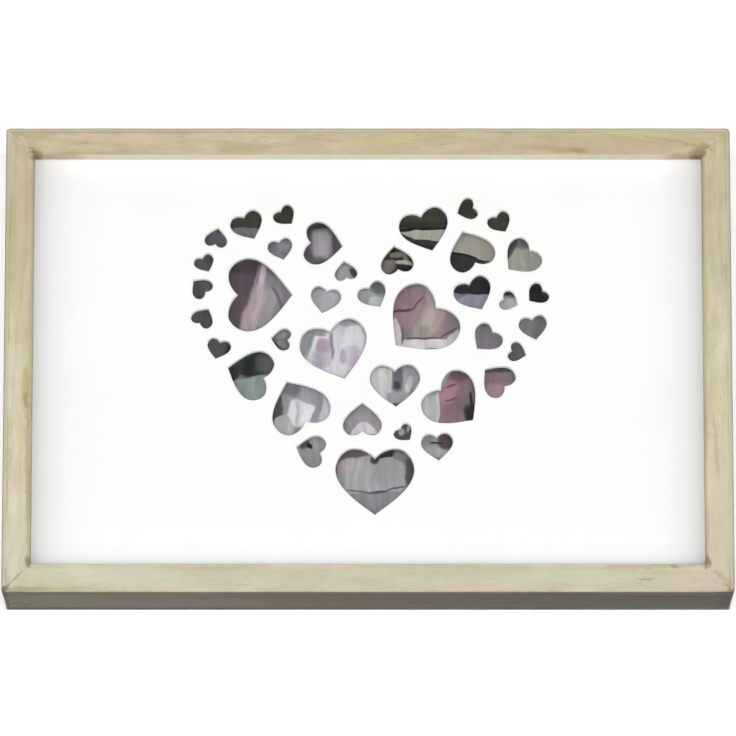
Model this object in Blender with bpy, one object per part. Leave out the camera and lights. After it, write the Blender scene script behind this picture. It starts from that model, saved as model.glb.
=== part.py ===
"""A wooden photo box: a hollow box of mitred rails, with a white board of heart-shaped openings in front.

The box lies on its back. X runs across the picture, +Y towards the picture's upper edge, and +Z out of
its front. The origin is the centre of the back face. Lengths are in metres.
"""

import math

import bmesh
import bpy
from mathutils import Matrix, Vector

# ---------------------------------------------------------------- driving dimensions

WIDTH = 0.320
HEIGHT = 0.2085
DEPTH = 0.045

RAIL_THICKNESS = 0.0125  # the rails' front faces, and the walls of the box
BACK_THICKNESS = 0.005
LIP_DEPTH = 0.008  # from the front down to the groove that holds the panels
GROOVE_DEPTH = 0.004

BOARD_THICKNESS = 0.0025
PANE_THICKNESS = 0.002
CARD_THICKNESS = 0.0012

FRONT_ROUNDING = 0.0016  # on the rails' outer front edges
INNER_EASING = 0.0005  # on their inner front edges
SEAM_EASING = 0.0005  # where the rails meet the back board
CORNER_EASING = 0.0009  # down the four outer corners
GAP = 0.0003  # between pieces that touch

ROUNDING_STEPS = 4
LARGE_HEART = 0.020  # a heart at least this wide gets finer curves
FINE_STEPS = 7  # points along each of a heart's six curves
COARSE_STEPS = 5

# ---------------------------------------------------------------- heights, front to back

BOARD_TOP = DEPTH - LIP_DEPTH - GAP
PANE_TOP = BOARD_TOP - BOARD_THICKNESS - GAP
CARD_TOP = PANE_TOP - PANE_THICKNESS - GAP
GROOVE_TOP = DEPTH - LIP_DEPTH
GROOVE_BOTTOM = CARD_TOP - CARD_THICKNESS - GAP
RAIL_BOTTOM = BACK_THICKNESS + GAP

# ---------------------------------------------------------------- the openings

# Each opening: how far across and up from the board's centre, how wide from lobe to lobe, all in
# millimetres, and how far its tip is turned from straight down, in degrees, anticlockwise.
HEARTS = {
    "left_edge": [
        (-67, 56.5, 10, 170),
        (-72, 44.5, 9, 25),
        (-74, 34, 10, -135),
        (-72.5, 20.5, 10, 150),
        (-66, 6, 10.5, -15),
        (-52.5, -5, 22.5, -107),
        (-31, -19, 26.5, -155),
        (-25.5, -39.5, 14.5, -105),
    ],
    "left_lobe": [
        (-53, 61.5, 14.5, 25),
        (-36.5, 66, 10, 40),
        (-19.5, 53.5, 19.5, 83),
        (-38.5, 51, 11, 15),
        (-47.5, 30.5, 33, 90),
        (-10, 41.5, 10, -170),
        (-19, 28, 13.5, -12),
        (-38.5, 10.5, 10, -97),
    ],
    "middle": [
        (2.5, 30, 13, 30),
        (-14, 5, 30, 17),
        (12, -10.5, 22, 2),
        (-2.5, -25.5, 17, 180),
        (16, -32, 8.5, 40),
        (3, -53.5, 34.5, 0),
    ],
    "right_lobe": [
        (12.5, 46.5, 14.5, -170),
        (25.5, 59.5, 22, 18),
        (45, 51, 20.5, -158),
        (43.5, 69, 10, -68),
        (58.5, 63, 10.5, 30),
        (22.5, 17.5, 33, -46),
        (47, 30.5, 17, 25),
        (52, 10.5, 13.5, -42),
    ],
    "right_edge": [
        (67.5, 47, 17, -47),
        (74.5, 30.5, 10, -51),
        (62.5, 27.5, 9, 66),
        (73, 15.5, 12.5, 11),
        (66, 4.5, 9, 72),
        (56.5, -7.5, 15.5, -132),
        (38, -18, 26.5, 46),
        (30.5, -38, 14, 5),
    ],
}

# One half of a heart one unit wide, as cubic curves from the notch over the lobe and down to the tip.
HEART_TOP = 0.4275
NOTCH = (0.0, HEART_TOP - 0.125)
LOBE = (0.27, HEART_TOP)
WIDEST = (0.5, HEART_TOP - 0.27)
TIP = (0.0, -HEART_TOP)
HALF_HEART = (
    (NOTCH, (0.06, NOTCH[1] + 0.07), (0.15, HEART_TOP), LOBE),
    (LOBE, (0.40, HEART_TOP), (0.5, WIDEST[1] + 0.13), WIDEST),
    (WIDEST, (0.5, WIDEST[1] - 0.24), (0.21, TIP[1] + 0.16), TIP),
)


def clear_scene():
    for thing in list(bpy.data.objects):
        bpy.data.objects.remove(thing, do_unlink=True)


def make_material(name, colour, roughness):
    material = bpy.data.materials.new(name)
    material.use_nodes = True
    shader = material.node_tree.nodes["Principled BSDF"]
    shader.inputs["Base Color"].default_value = (*colour, 1.0)
    shader.inputs["Roughness"].default_value = roughness
    shader.inputs["Metallic"].default_value = 0.0
    return material


def make_object(name, bm, material):
    """Turns a bmesh into a named object with its faces pointing out."""
    bmesh.ops.recalc_face_normals(bm, faces=bm.faces[:])
    mesh = bpy.data.meshes.new(name)
    bm.to_mesh(mesh)
    bm.free()
    mesh.materials.append(material)
    thing = bpy.data.objects.new(name, mesh)
    bpy.context.scene.collection.objects.link(thing)
    return thing


# ---------------------------------------------------------------- rails


def rail_profile():
    """The rail's cross-section, as (distance in from the box's side, height) points, round its outline."""
    inner = RAIL_THICKNESS
    points = [(SEAM_EASING, RAIL_BOTTOM), (0.0, RAIL_BOTTOM + SEAM_EASING)]
    for step in range(ROUNDING_STEPS + 1):
        angle = 0.5 * math.pi * step / ROUNDING_STEPS
        points.append(
            (FRONT_ROUNDING * (1 - math.cos(angle)), DEPTH - FRONT_ROUNDING * (1 - math.sin(angle)))
        )
    points += [
        (inner - INNER_EASING, DEPTH),
        (inner, DEPTH - INNER_EASING),
        (inner, GROOVE_TOP),
        (inner - GROOVE_DEPTH, GROOVE_TOP),
        (inner - GROOVE_DEPTH, GROOVE_BOTTOM),
        (inner, GROOVE_BOTTOM),
        (inner, RAIL_BOTTOM),
    ]
    return points


def make_rail(name, length, reach, turn, material):
    """A rail of the given outer length, whose outer side is reach from the centre, turned about +Z.

    It is made as the lower rail, along X with its outer side at -Y, and its ends are mitred.
    """
    bm = bmesh.new()
    rings = []
    for side in (-1, 1):
        ring = []
        for inset, height in rail_profile():
            along = length / 2 - inset - GAP / 2
            ring.append(bm.verts.new((side * along, inset - reach, height)))
        rings.append(ring)
    count = len(rings[0])
    for index in range(count):
        following = (index + 1) % count
        bm.faces.new((rings[0][index], rings[0][following], rings[1][following], rings[1][index]))
    for ring in rings:
        bm.faces.new(ring)
    ease_corners(bm, length, reach)
    bmesh.ops.triangulate(bm, faces=bm.faces[:], ngon_method="EAR_CLIP")
    bmesh.ops.rotate(bm, verts=bm.verts[:], cent=(0, 0, 0), matrix=Matrix.Rotation(math.radians(turn), 3, "Z"))
    return make_object(name, bm, material)


def ease_corners(bm, length, reach):
    """Cuts a small flat down the rail's two outer corners."""
    for side in (-1, 1):
        corner = Vector((side * (length / 2 - CORNER_EASING), -reach, 0))
        cut = bmesh.ops.bisect_plane(
            bm,
            geom=bm.verts[:] + bm.edges[:] + bm.faces[:],
            plane_co=corner,
            plane_no=Vector((side, -1, 0)).normalized(),
            clear_outer=True,
        )
        edges = [item for item in cut["geom_cut"] if isinstance(item, bmesh.types.BMEdge)]
        bmesh.ops.contextual_create(bm, geom=edges)


# ---------------------------------------------------------------- panels


def make_panel(name, top, thickness, material):
    """A plain sheet let into the rails' groove."""
    margin = RAIL_THICKNESS - GROOVE_DEPTH + GAP
    size = (WIDTH - 2 * margin, HEIGHT - 2 * margin, thickness)
    return make_slab(name, size, top - thickness / 2, material)


def make_slab(name, size, middle_height, material):
    bm = bmesh.new()
    bmesh.ops.create_cube(bm, size=1.0)
    bmesh.ops.scale(bm, vec=size, verts=bm.verts[:])
    bmesh.ops.translate(bm, vec=(0, 0, middle_height), verts=bm.verts[:])
    return make_object(name, bm, material)


def curve_point(curve, t):
    """A point on a cubic curve given by its four control points."""
    weights = ((1 - t) ** 3, 3 * (1 - t) ** 2 * t, 3 * (1 - t) * t**2, t**3)
    return tuple(sum(w * point[axis] for w, point in zip(weights, curve)) for axis in (0, 1))


def heart_outline(steps):
    """A heart one unit wide, tip down, as points that run from its notch clockwise round to its notch."""
    half = [curve_point(curve, step / steps) for curve in HALF_HEART for step in range(steps)]
    return half + [TIP] + [(-across, up) for across, up in reversed(half[1:])]


def placed_heart(across, up, width, turn):
    """The outline of one opening, in metres from the board's centre."""
    steps = FINE_STEPS if width * 0.001 >= LARGE_HEART else COARSE_STEPS
    place = Matrix.Translation((across * 0.001, up * 0.001, 0)) @ Matrix.Rotation(math.radians(turn), 4, "Z")
    return [place @ Vector((x * width * 0.001, y * width * 0.001, 0)) for x, y in heart_outline(steps)]


def add_loop(bm, points):
    verts = [bm.verts.new(point) for point in points]
    return [bm.edges.new((verts[index - 1], verts[index])) for index in range(len(verts))]


def make_heart_board(material):
    """The white board: one sheet with every opening cut straight through."""
    margin = RAIL_THICKNESS - GROOVE_DEPTH + GAP
    half_width = WIDTH / 2 - margin
    half_height = HEIGHT / 2 - margin
    bottom = BOARD_TOP - BOARD_THICKNESS
    bm = bmesh.new()
    corners = ((-1, -1), (1, -1), (1, 1), (-1, 1))
    edges = add_loop(bm, [Vector((x * half_width, y * half_height, 0)) for x, y in corners])
    for group in HEARTS.values():
        for heart in group:
            edges += add_loop(bm, placed_heart(*heart))
    bmesh.ops.translate(bm, vec=(0, 0, bottom), verts=bm.verts[:])
    bmesh.ops.triangle_fill(bm, use_beauty=True, edges=edges, normal=(0, 0, 1))
    raised = bmesh.ops.extrude_face_region(bm, geom=bm.faces[:])
    verts = [item for item in raised["geom"] if isinstance(item, bmesh.types.BMVert)]
    bmesh.ops.translate(bm, vec=(0, 0, BOARD_THICKNESS), verts=verts)
    return make_object("heart_board", bm, material)


def make_back_board(material):
    """The thin board that closes the box, flush with its sides."""
    board = make_slab("back_board", (WIDTH, HEIGHT, BACK_THICKNESS), BACK_THICKNESS / 2, material)
    easing = board.modifiers.new("eased_edges", "BEVEL")
    easing.width = SEAM_EASING
    easing.segments = 1
    easing.limit_method = "ANGLE"
    easing.angle_limit = math.radians(30)
    return board


def main():
    clear_scene()
    wood = make_material("pale_wood", (0.58, 0.50, 0.36), 0.62)
    white = make_material("white_board", (0.90, 0.90, 0.89), 0.55)
    glass = make_material("clear_pane", (0.95, 0.97, 0.97), 0.03)
    glass.node_tree.nodes["Principled BSDF"].inputs["Transmission Weight"].default_value = 1.0
    print_paper = make_material("printed_card", (0.30, 0.28, 0.28), 0.35)
    back_wood = make_material("back_wood", (0.56, 0.47, 0.33), 0.70)

    make_rail("rail_bottom", WIDTH, HEIGHT / 2, 0, wood)
    make_rail("rail_right", HEIGHT, WIDTH / 2, 90, wood)
    make_rail("rail_top", WIDTH, HEIGHT / 2, 180, wood)
    make_rail("rail_left", HEIGHT, WIDTH / 2, -90, wood)
    make_heart_board(white)
    make_panel("clear_pane", PANE_TOP, PANE_THICKNESS, glass)
    make_panel("picture_card", CARD_TOP, CARD_THICKNESS, print_paper)
    make_back_board(back_wood)


main()
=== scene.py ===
"""The finish of a wooden photo box: mitred rails, a board of heart-shaped openings, a pane and a print.

The box lies on its back. X runs across the picture, +Y towards the picture's upper edge, and +Z out of
its front. Lengths are in metres unless a name says otherwise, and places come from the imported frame.
"""

import math

import bmesh
import bpy
from bpy.props import FloatProperty, FloatVectorProperty, PointerProperty
from mathutils import Matrix, Vector, noise


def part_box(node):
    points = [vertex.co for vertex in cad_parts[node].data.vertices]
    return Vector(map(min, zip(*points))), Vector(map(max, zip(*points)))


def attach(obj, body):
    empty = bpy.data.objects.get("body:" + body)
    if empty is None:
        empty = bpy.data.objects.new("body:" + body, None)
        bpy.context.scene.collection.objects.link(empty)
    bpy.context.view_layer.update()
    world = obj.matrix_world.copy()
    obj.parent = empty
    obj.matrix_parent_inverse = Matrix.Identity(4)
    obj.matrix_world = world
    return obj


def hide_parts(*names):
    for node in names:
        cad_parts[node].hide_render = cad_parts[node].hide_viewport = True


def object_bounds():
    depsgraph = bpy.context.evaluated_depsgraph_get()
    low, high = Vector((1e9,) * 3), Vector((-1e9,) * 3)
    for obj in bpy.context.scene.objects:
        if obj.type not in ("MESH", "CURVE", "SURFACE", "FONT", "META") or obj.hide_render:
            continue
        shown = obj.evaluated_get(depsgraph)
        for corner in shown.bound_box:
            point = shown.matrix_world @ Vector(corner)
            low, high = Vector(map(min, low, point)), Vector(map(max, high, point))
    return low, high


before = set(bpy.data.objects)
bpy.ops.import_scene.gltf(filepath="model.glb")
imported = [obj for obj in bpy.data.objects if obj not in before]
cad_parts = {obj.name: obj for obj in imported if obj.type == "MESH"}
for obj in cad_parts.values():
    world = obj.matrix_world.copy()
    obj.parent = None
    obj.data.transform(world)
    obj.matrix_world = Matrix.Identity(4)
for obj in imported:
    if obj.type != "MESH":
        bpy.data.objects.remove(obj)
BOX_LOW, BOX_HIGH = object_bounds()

bl_info = {
    "name": "Wooden photo box",
    "version": (1, 0, 0),
    "blender": (4, 5, 0),
    "location": "3D View > Sidebar > Photo box",
    "description": "Finishes a wooden photo box with heart-shaped openings around its packed frame",
    "category": "Object",
}

MILLIMETRE = 0.001  # for the tables that hold millimetres
WHITE = (1.0, 1.0, 1.0, 1.0)

# ---------------------------------------------------------------- places, from the frame

GAP = 0.0003  # between pieces that touch
FLOOR_DROP = 0.0001  # keeps the floor clear of the box's flat back
WIDTH = BOX_HIGH.x - BOX_LOW.x
HEIGHT = BOX_HIGH.y - BOX_LOW.y
FRONT = BOX_HIGH.z
RAIL_LOW, RAIL_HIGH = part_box("rail_bottom")
BOARD_LOW, BOARD_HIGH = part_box("heart_board")
CARD_LOW, CARD_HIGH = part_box("picture_card")
BACK_LOW, BACK_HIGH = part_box("back_board")

RAIL_THICKNESS = RAIL_HIGH.y - RAIL_LOW.y
RAIL_BOTTOM = RAIL_LOW.z
GROOVE_TOP = BOARD_HIGH.z + GAP
GROOVE_BOTTOM = CARD_LOW.z - GAP
GROOVE_FLOOR = BOX_HIGH.x - BOARD_HIGH.x - GAP  # in from the box's side
BODY = "root"

# ---------------------------------------------------------------- the rails' shape

LOWER_TURN = 0  # how far the lower rail is turned about +Z, in degrees
UPPER_TURN = 180

# Each rail: its outer length, how far its outer side is from the centre, its turn about +Z in degrees,
# where along the plank its grain starts, how round its outer front edge is, next to the others, and how
# worn that edge is.
RAILS = {
    "rail_bottom": (WIDTH, HEIGHT / 2, LOWER_TURN, 0.0, 0.45, 0.15),
    "rail_right": (HEIGHT, WIDTH / 2, 90, 0.9, 1.0, 0.6),
    "rail_top": (WIDTH, HEIGHT / 2, UPPER_TURN, 1.7, 1.0, 0.8),
    "rail_left": (HEIGHT, WIDTH / 2, -90, 2.6, 1.0, 0.6),
}

MITRE = math.radians(45)
STATION_SPACING = 0.003  # between a rail's cross-sections
BEND_STEPS = 5  # cross-sections round each end of a rail
ROUNDING_STEPS = 8
EASING_STEPS = 3
SIDE_ROWS = (0.2, 0.4, 0.6, 0.8)  # shares of the way up the outer side where rows of points run
FRONT_ROWS = (0.3, 0.45, 0.6, 0.75)  # shares of the way in over the front
LEAST_RADIUS = 0.00004  # of the corners, where a rail's inner faces meet
JOINT_DIP = 0.00003  # how far the front dips at a mitre
DIP_DEPTH = 0.0004  # how far below the front that is felt
EDGE_STRAYING = 0.22  # how far the rounding of a front edge strays, as a share of it
EDGE_LUMPS = 48  # how often it does, to a metre

# ---------------------------------------------------------------- the openings

# Each opening: how far across and up from the board's centre, how wide from lobe to lobe, all in
# millimetres, and how far its tip is turned from straight down, in degrees, anticlockwise.
HEARTS = {
    "left_edge": [
        (-67, 56.5, 10, 170),
        (-72, 44.5, 9, 25),
        (-74, 34, 10, -135),
        (-72.5, 20.5, 10, 150),
        (-66, 6, 10.5, -15),
        (-52.5, -5, 22.5, -107),
        (-31, -19, 26.5, -155),
        (-25.5, -39.5, 14.5, -105),
    ],
    "left_lobe": [
        (-53, 61.5, 14.5, 25),
        (-36.5, 66, 10, 40),
        (-19.5, 53.5, 19.5, 83),
        (-38.5, 51, 11, 15),
        (-47.5, 30.5, 33, 90),
        (-10, 41.5, 10, -170),
        (-19, 28, 13.5, -12),
        (-38.5, 10.5, 10, -97),
    ],
    "middle": [
        (2.5, 30, 13, 30),
        (-14, 5, 30, 17),
        (12, -10.5, 22, 2),
        (-2.5, -25.5, 17, 180),
        (16, -32, 8.5, 40),
        (3, -53.5, 34.5, 0),
    ],
    "right_lobe": [
        (12.5, 46.5, 14.5, -170),
        (25.5, 59.5, 22, 18),
        (45, 51, 20.5, -158),
        (43.5, 69, 10, -68),
        (58.5, 63, 10.5, 30),
        (22.5, 17.5, 33, -46),
        (47, 30.5, 17, 25),
        (52, 10.5, 13.5, -42),
    ],
    "right_edge": [
        (67.5, 47, 17, -47),
        (74.5, 30.5, 10, -51),
        (62.5, 27.5, 9, 66),
        (73, 15.5, 12.5, 11),
        (66, 4.5, 9, 72),
        (56.5, -7.5, 15.5, -132),
        (38, -18, 26.5, 46),
        (30.5, -38, 14, 5),
    ],
}

# One half of a heart one unit wide, as cubic curves from the notch over the lobe and down to the tip.
HEART_TOP = 0.4275
NOTCH = (0.0, HEART_TOP - 0.125)
LOBE = (0.27, HEART_TOP)
WIDEST = (0.5, HEART_TOP - 0.27)
TIP = (0.0, -HEART_TOP)
HALF_HEART = (
    (NOTCH, (0.06, NOTCH[1] + 0.07), (0.15, HEART_TOP), LOBE),
    (LOBE, (0.40, HEART_TOP), (0.5, WIDEST[1] + 0.13), WIDEST),
    (WIDEST, (0.5, WIDEST[1] - 0.24), (0.21, TIP[1] + 0.16), TIP),
)

LEAST_STEPS = 8  # points along each of a heart's six curves
WIDTH_FOR_STEP = 4  # millimetres of width for each further one
HEART_REACH = 0.47  # from the middle to the edge of a heart one unit wide, about
SHARP_TURN = 1.0  # radians that the surface turns by from the board's front to an opening's wall
CLOSE = 0.00001  # heights that differ by less are the same

# ---------------------------------------------------------------- colours


def paint(red, green, blue):
    """A colour given in display values from 0 to 255, as the linear values that Blender's colours hold."""
    shares = [value / 255 for value in (red, green, blue)]
    return tuple(
        share / 12.92 if share <= 0.04045 else ((share + 0.055) / 1.055) ** 2.4 for share in shares
    )


# How the wood's colour changes from the box's lower edge to its upper one, where its darkening towards the
# upper edge is painted falloff of the light, and the painted shade on the lower side, which deepens from its
# left end to its right end, both as shares of the wood's own colour.
UPWARD_TINT_AND_FALLOFF = [
    (0.0, (0.90, 0.92, 0.94)),
    (0.2, (1.0, 1.0, 1.0)),
    (0.5, (0.97, 0.97, 0.95)),
    (0.78, (0.86, 0.825, 0.77)),
    (1.0, (0.825, 0.772, 0.69)),
]
LOWER_SIDE_PAINTED_SHADE = [
    (0.0, (0.79, 0.78, 0.71)),
    (0.1, (0.84, 0.78, 0.74)),
    (0.25, (0.86, 0.76, 0.76)),
    (0.5, (0.55, 0.465, 0.445)),
    (0.7, (0.385, 0.385, 0.345)),
    (0.85, (0.32, 0.355, 0.31)),
    (1.0, (0.32, 0.32, 0.295)),
]
OTHER_SIDES_TINT = (0.86, 0.84, 0.83)

# How light the outer sides are, from the seam of the back board up to the front.
SIDE_LINES = [
    (0.0, 0.7),
    (0.03, 0.75),
    (0.05, 1.14),
    (0.15, 1.12),
    (0.5, 1.0),
    (0.8, 0.93),
    (0.92, 0.86),
    (1.0, 0.76),
]

# The noises that the wood is grown from: how many lumps there are to a metre along the grain and across
# it, how many layers of finer lumps, and how strong each layer is, next to the one before.
WOOD_NOISES = {
    "wander": (7, 26, 2.0, 0.5),
    "ring_patches": (16, 70, 2.0, 0.5),
    "blushes": (28, 120, 4.0, 0.55),
    "olives": (24, 130, 4.0, 0.55),
    "streaks": (26, 260, 4.0, 0.6),
    "fibres": (70, 2400, 2.0, 0.6),
    "smudges": (60, 110, 3.0, 0.5),
    "mottle": (240, 420, 2.0, 0.5),
    "dashes": (110, 900, 1.0, 0.5),
    "flecks": (200, 1500, 1.0, 0.5),
}

# What each noise does to the wood: the part of the noise that it fades over, and how strong it is at either
# end. For streaks, fibres, smudges and mottle that is how light they leave the wood.
WOOD_FADES = {
    "ring_patches": (0.35, 0.7, 0.1, 1.0),
    "blushes": (0.46, 0.62, 0.0, 0.75),
    "olives": (0.47, 0.62, 0.0, 0.8),
    "streaks": (0.3, 0.7, 0.955, 1.04),
    "fibres": (0.25, 0.75, 0.965, 1.025),
    "smudges": (0.3, 0.7, 0.93, 1.05),
    "mottle": (0.3, 0.7, 0.975, 1.02),
    "dashes": (0.60, 0.74, 0.0, 1.0),
    "flecks": (0.68, 0.76, 0.0, 1.0),
}
OLIVES_SHIFT = (3.0, 1.0, 0.0)  # takes the olive streaks from another part of the noise than the blushes

TREE_HEART = (0.022, 0.012)  # how far outside the rail's side and behind the back the tree's heart lies
RING_DRIFT = 0.016  # how far the rings stray from true circles
RING_TONE = [(0.0, 0.25), (0.12, 0.0), (0.55, 0.08), (0.88, 0.9), (1.0, 0.3)]  # how dark, across one ring

# What lies on the wood: its colour, and how strong it is.
RING_STRENGTH = 0.4
DASHES = (paint(160, 142, 108), 0.2)
FLECKS = (paint(126, 108, 82), 0.25)
FILLER = (paint(222, 210, 192), 0.6)
GRIME = (paint(130, 112, 86), 0.22)
WORN_WOOD = paint(188, 183, 168)
CREASE = paint(150, 140, 112)
SPECKS = paint(176, 170, 158)
# Painted light on the upper rail's inner face, and painted shade on the side rails' inner edges and faces.
PAINTED_LIP_LIGHT = (paint(255, 250, 230), 0.75)
PAINTED_LIP_LIGHT_SCALE = 1.7
SIDE_LIP_SHADE = 0.84
INNER_EDGE_SHADE = (0.80, 0.76, 0.70)

# The fine relief of each finish: how deep it is, and how strongly it shows.
WOOD_RELIEF = (0.00012, 0.55)
PAINT_TOOTH = (0.00003, 0.4)
GLASS_WAVES = (0.00004, 0.3)
PRINT_TOOTH = (0.00001, 0.3)
VENEER_RELIEF = (0.0001, 0.5)
FLOOR_TOOTH = (0.00005, 0.2)

# How far from its edge or line each finish starts, and from where on it is full.
WEAR_DEPTH = (0.0022, 0.0012)
WEAR_WIDTH = (0.0021, 0.0015)
CREASE_WIDTH = (0.00045, 0.0001)
SIDE_WIDTH = (0.0006, 0.0002)
SIDE_DEPTH = (0.0003, 0.001)
LIP_WIDTH = (0.0003, 0.0001)
LIP_HEIGHT = (0.001, 0.0)
INNER_EDGE_WIDTH = (0.0018, 0.0003)
FILLER_WIDTH = (0.0018, 0.0003)
GRIME_WIDTH = (0.0006, 0.0001)
SPECKLED_END = (0.02, 0.005)
PLY_EDGE_WIDTH = (0.0004, 0.0002)
PRINT_DEPTH = (0.0002, 0.0001)
EASED_EDGE_GREY_DEPTH = (0.00001, 0.00008)
WALL_DEPTH = (0.0003, 0.0005)
PAINTED_WALL_LIGHT_DEPTH = (0.0024, 0.0018)

# The part of a noise that each of these fades over, and for the first two how strong they are at either
# end, next to the rail's wear.
WORN_FADE = (0.3, 0.6, 0.4, 1.0)
CREASE_FADE = (0.65, 0.45, 0.1, 0.6)
SPECK_FADE = (0.66, 0.72)
FILLER_FADE = (0.56, 0.66)
GRIME_FADE = (0.60, 0.42)
SPECK_STRENGTH = 0.5
FLECK_DEPTH = 0.8  # next to the wood's relief
FILLER_HEIGHT = 0.3

# Painted shade on the white board beside the side rails and over the lower one, where the rails shadow it,
# over this distance.
SHADE_REACH = 0.02
SIDE_SHADE = [
    (0.0, (0.975, 0.99, 1.0)),
    (0.12, (0.97, 0.985, 1.0)),
    (0.3, (0.985, 0.985, 0.995)),
    (1.0, (1.0, 1.0, 1.0)),
]
FOOT_SHADE = [
    (0.0, (0.86, 0.86, 0.85)),
    (0.05, (0.82, 0.825, 0.835)),
    (0.14, (0.83, 0.84, 0.88)),
    (0.22, (0.875, 0.885, 0.91)),
    (0.32, (0.94, 0.94, 0.955)),
    (0.6, (1.0, 1.0, 1.0)),
]

MARK_STRAYING = 0.0028  # how far the marks' outlines stray, and how many lumps to a metre they have
MARK_LUMPS = 280
MARK_SOFTNESS = 0.9
SIDE_MARK_SOFTNESS = 0.8
MARK_SQUARENESS = 2.0
MARK_REACH = 0.7  # a mark is drawn on a rail whose middle line is nearer than this share of its thickness

# Stains, smudges and knots in the rails, and painted shadows in the upper inner corners and along the lip
# beside
# them: how far across and up from the box's middle, half width and half height, all in millimetres, turn in
# degrees, colour, and how strong the mark is.
MARKS = {
    # painted shadows: the corner shadows and the shades beside them at the upper inner corners
    "top_left_corner_shadow": ((-147.2, 92.2), (3.0, 2.2), -35, paint(112, 106, 72), 0.8),
    "top_left_shade": ((-137, 92.0), (9, 1.0), 0, paint(170, 146, 114), 0.45),
    "top_left_pink": ((-153.2, 98.6), (1.6, 2.6), 38, paint(214, 192, 178), 0.5),
    "top_left_joint": ((-154.4, 99.0), (0.4, 3.6), 45, paint(168, 144, 118), 0.4),
    "top_left_blush": ((-122, 99.5), (14, 1.6), 0, paint(206, 184, 164), 0.6),
    "top_right_corner_shadow": ((146.0, 92.6), (3.4, 2.4), 35, paint(128, 104, 72), 0.8),
    "top_right_shade": ((139, 91.9), (7, 0.9), 3, paint(176, 142, 108), 0.5),
    "top_right_joint": ((149.4, 95.8), (3.0, 1.2), -24, paint(150, 124, 90), 0.6),
    "top_right_stain": ((84, 94.6), (13, 1.5), -4, paint(168, 142, 100), 0.6),
    "top_right_stain_foot": ((93, 93.6), (4, 0.9), -8, paint(146, 118, 80), 0.6),
    "top_right_shadow": ((106, 97.4), (44, 4.6), 0, paint(188, 172, 137), 0.45),
    "top_right_olive": ((119, 101.2), (15, 1.5), -5, paint(194, 192, 138), 0.7),
    "top_right_line": ((129, 99.4), (9, 0.5), -8, paint(166, 152, 108), 0.5),
    "top_right_second_line": ((142, 96.6), (6, 0.5), -12, paint(160, 136, 100), 0.45),
    "left_upper_shade": ((-153.5, 60), (6, 36), 0, paint(182, 168, 134), 0.35),
    "top_middle_olive": ((6, 98.4), (16, 1.6), 3, paint(196, 190, 132), 0.6),
    "top_middle_blush": ((-14, 96.8), (17, 1.1), -2, paint(208, 182, 158), 0.6),
    "top_far_left_blush": ((-102, 98.4), (9, 2.6), 0, paint(210, 188, 168), 0.5),
    "left_inner_streak": ((-149.0, -40), (1.0, 34), 0.6, paint(160, 138, 104), 0.5),
    "left_inner_olive": ((-150.4, -12), (1.3, 9), -3, paint(176, 168, 108), 0.65),
    "left_inner_knot": ((-150.0, -19), (0.9, 3), 0, paint(146, 126, 86), 0.5),
    "left_middle_flecks": ((-153, 22), (0.9, 9), 3, paint(196, 192, 140), 0.6),
    "left_foot_tip": ((-148.4, -90.8), (1.3, 2.2), 0, paint(128, 106, 82), 0.75),
    "bottom_left_tip": ((-158.8, -103.2), (2.0, 1.2), 45, paint(84, 62, 48), 0.85),
    "bottom_left_joint": ((-154.4, -98.6), (0.35, 5.2), -45, paint(152, 134, 102), 0.65),
    "bottom_left_edge": ((-148, -103.0), (10, 1.1), 0, paint(160, 142, 116), 0.6),
    "bottom_left_pale": ((-155, -93), (1.6, 5), -12, paint(218, 214, 194), 0.6),
    "bottom_cool": ((10, -96.8), (125, 4.0), 0, paint(194, 190, 168), 0.5),
    "bottom_left_grey": ((-118, -97.4), (30, 4.2), 0, paint(208, 204, 186), 0.5),
    "bottom_pink_left": ((-86, -102.4), (24, 1.1), 0, paint(212, 192, 174), 0.6),
    "bottom_pink_right": ((48, -102.4), (30, 1.1), 0, paint(214, 192, 178), 0.7),
    "bottom_green": ((90, -97.6), (26, 2.6), 0, paint(206, 208, 180), 0.5),
    "bottom_right_tip": ((158.4, -103.2), (1.4, 1.2), -45, paint(112, 92, 70), 0.6),
    "bottom_right_upper_blot": ((153.4, -96.6), (2.6, 1.0), -44, paint(168, 150, 122), 0.75),
    "bottom_right_lower_blot": ((157.0, -99.8), (2.0, 1.6), -45, paint(172, 154, 126), 0.7),
    "bottom_right_fleck": ((122, -98.6), (3.4, 0.6), 0, paint(152, 146, 112), 0.8),
    "bottom_right_knot": ((133.6, -92.8), (1.7, 0.55), 0, paint(146, 122, 92), 0.7),
    "bottom_right_band": ((128, -92.7), (24, 0.9), 1, paint(176, 160, 134), 0.55),
    "bottom_right_blush": ((136, -99.5), (12, 3.4), 0, paint(206, 192, 172), 0.6),
    "right_foot_tip": ((148.2, -90.8), (1.4, 2.6), 0, paint(122, 110, 86), 0.8),
    "right_lower_tan": ((154.5, -64), (5, 30), 0, paint(204, 191, 166), 0.7),
    "left_lower_grey": ((-155.6, -82), (3.4, 12), 0, paint(206, 203, 182), 0.5),
    "right_lower_streak": ((152.5, -40), (0.8, 14), 4, paint(184, 170, 140), 0.6),
    "right_inner_green": ((148.6, 10), (0.9, 30), 0, paint(178, 180, 146), 0.5),
}

# The same on the lower side: how far across and up from the box's back each one is, and so on.
LOWER_SIDE_MARKS = {
    "right_reddish_band": ((128, 42.0), (36, 4.4), -2, paint(172, 136, 106), 0.8),
    "right_dark_line": ((138, 34.0), (26, 2.4), -2, paint(91, 89, 76), 0.8),
    "right_corner": ((158, 20), (3.4, 22), 0, paint(84, 79, 64), 0.6),
    "middle_reddish_band": ((-10, 43.0), (80, 2.6), 0, paint(208, 178, 155), 0.5),
    "left_purple": ((-92, 13), (40, 10), 0, paint(214, 187, 186), 0.6),
    "left_green": ((-136, 26), (20, 12), 0, paint(200, 200, 175), 0.6),
}

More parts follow.
